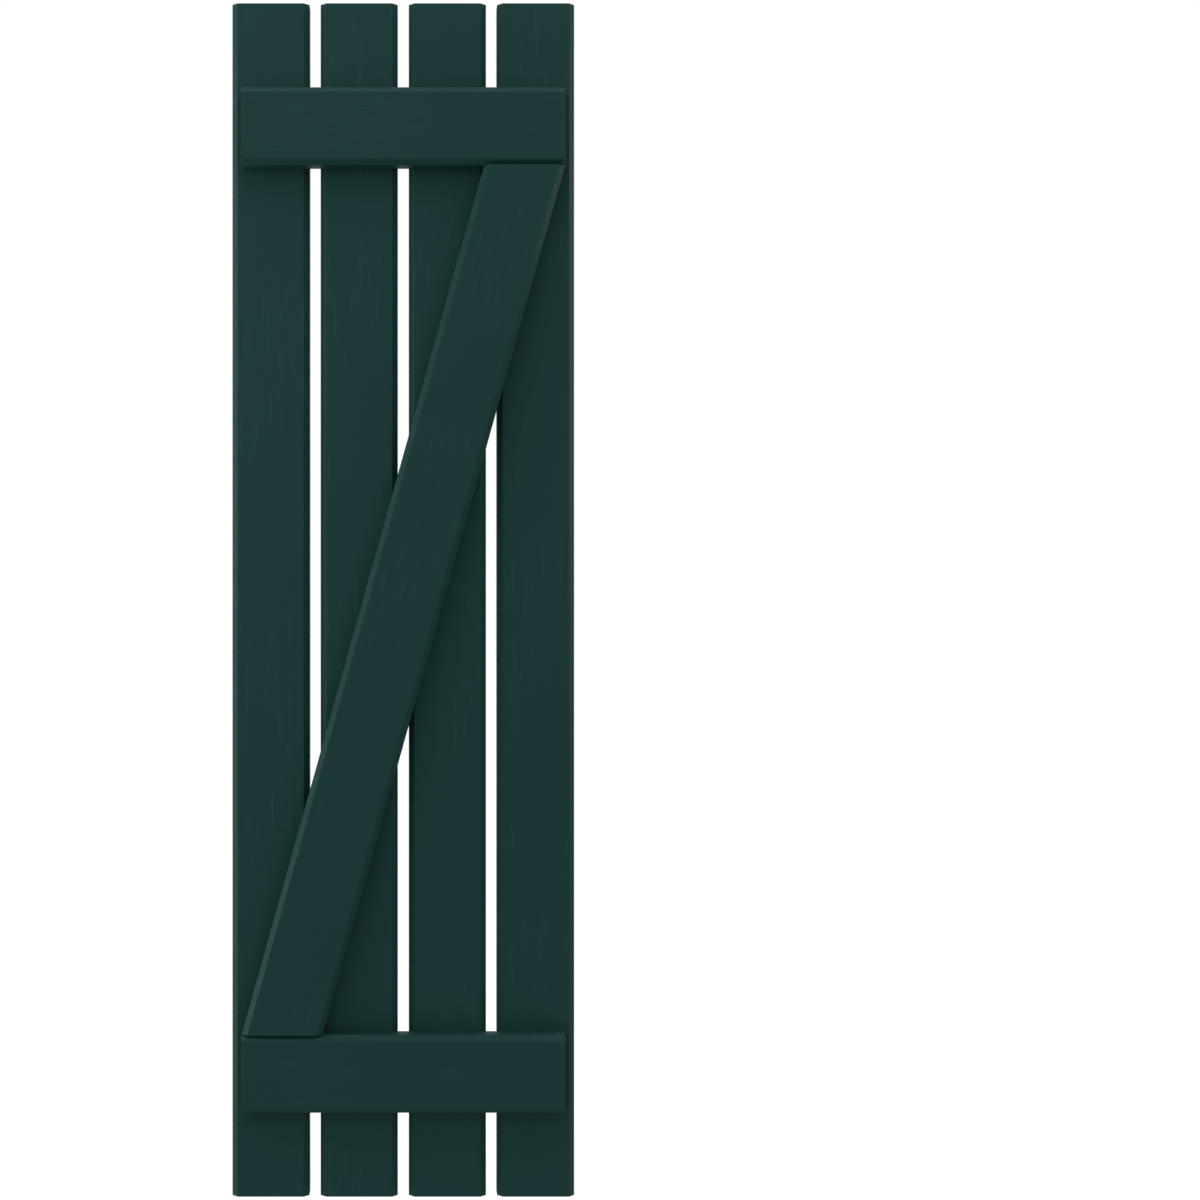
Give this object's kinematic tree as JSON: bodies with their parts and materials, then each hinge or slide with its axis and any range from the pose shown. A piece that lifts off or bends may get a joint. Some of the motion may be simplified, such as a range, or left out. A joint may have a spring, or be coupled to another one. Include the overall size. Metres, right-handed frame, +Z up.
{
  "type": "board and batten shutter",
  "caption": "Flat window shutter of spaced upright boards, held together on the front by level battens and a sloping brace, all chamfered and painted dark green.",
  "frame": {"origin": "on the back of the left inner board, on its upright centre line, at the middle of its height, where the back lies on the wall", "axes": "+X to the right as seen from the front, +Y into the wall, +Z up; the front faces -Y"},
  "size_m": [0.3937, 0.0508, 1.3716],
  "materials": {
    "board_paint": "dark green satin paint, grain upright",
    "batten_paint": "dark green satin paint, grain level",
    "brace_paint": "dark green satin paint, grain along the brace"
  },
  "bodies": {
    "root": {"left_outer_board": "board_paint", "left_inner_board": "board_paint", "right_inner_board": "board_paint", "right_outer_board": "board_paint", "top_batten": "batten_paint", "bottom_batten": "batten_paint", "diagonal_brace": "brace_paint"}
  },
  "joints": []
}
